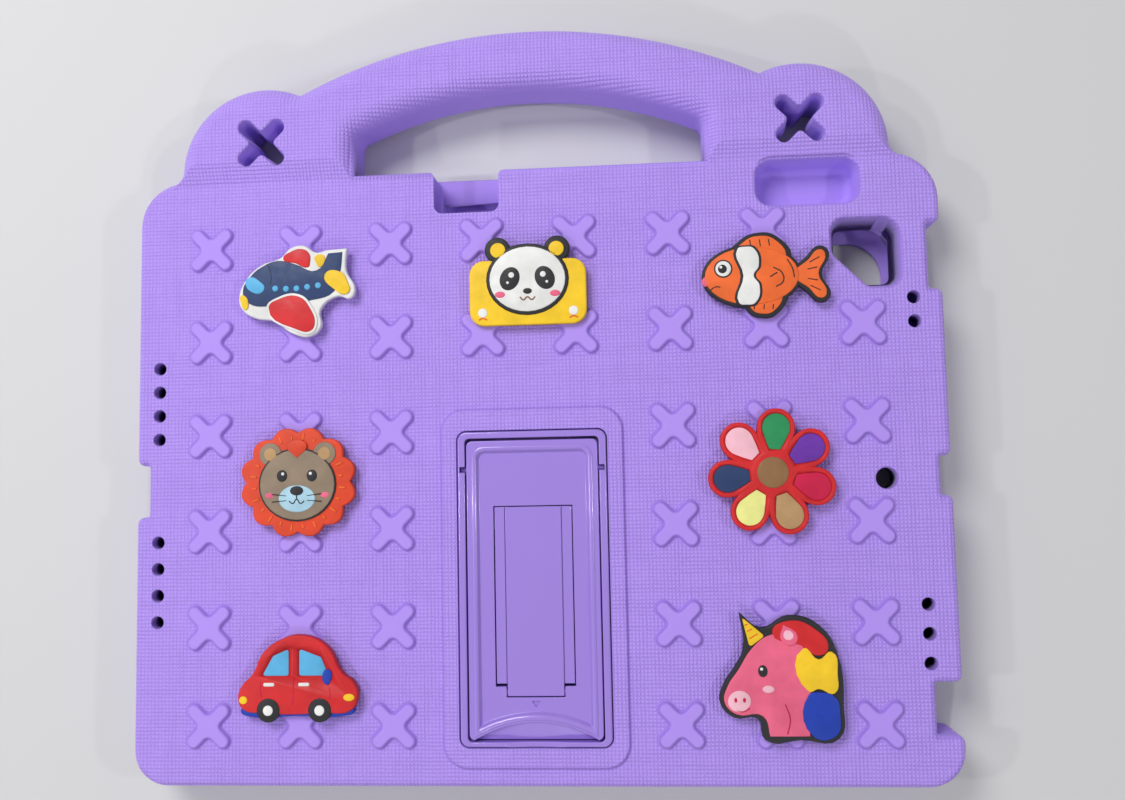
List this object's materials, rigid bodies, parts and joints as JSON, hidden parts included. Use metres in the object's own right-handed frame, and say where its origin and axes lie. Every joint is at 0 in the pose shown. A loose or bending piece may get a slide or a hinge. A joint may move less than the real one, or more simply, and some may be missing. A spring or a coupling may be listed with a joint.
{
  "type": "kids tablet case",
  "caption": "Foam tablet case with a carry handle, a fold-out stand, port cut-outs, raised crosses and snap-in charms.",
  "frame": {"origin": "middle of the footprint, on the plane that the front lip rests on", "axes": "+X across the case, +Y up the case towards its handle, +Z from the front lip to the decorated back"},
  "size_m": [0.278, 0.2594, 0.025],
  "materials": {
    "foam": "matte moulded foam with a fine woven texture",
    "stand_plastic": "smooth satin-gloss moulded plastic",
    "charm_airplane": "soft moulded plastic in fields of colour",
    "charm_panda": "soft moulded plastic in fields of colour",
    "charm_fish": "soft moulded plastic in fields of colour",
    "charm_lion": "soft moulded plastic in fields of colour",
    "charm_flower": "soft moulded plastic in fields of colour",
    "charm_car": "soft moulded plastic in fields of colour",
    "charm_unicorn": "soft moulded plastic in fields of colour"
  },
  "bodies": {
    "case": {"foam_frame": "foam", "foam_back": "foam", "foam_grip": "foam", "stand_tray": "stand_plastic", "charm_airplane": "charm_airplane", "charm_panda": "charm_panda", "charm_fish": "charm_fish", "charm_lion": "charm_lion", "charm_flower": "charm_flower", "charm_car": "charm_car", "charm_unicorn": "charm_unicorn"},
    "leg": {"stand_leg": "stand_plastic"},
    "prop": {"stand_prop": "stand_plastic"}
  },
  "joints": [
    {"name": "leg_hinge", "type": "hinge", "parent": "case", "child": "leg", "pos_m": [0, -0.02425, 0.0185], "axis": [-1, 0, 0], "range_deg": [0, 40]},
    {"name": "prop_hinge", "type": "hinge", "parent": "leg", "child": "prop", "pos_m": [0, -0.09845, 0.0185], "axis": [-1, 0, 0], "range_deg": [0, 18]}
  ],
  "couplings": [
    {"joint": "prop_hinge", "follows": "leg_hinge", "ratio": 0.45}
  ]
}
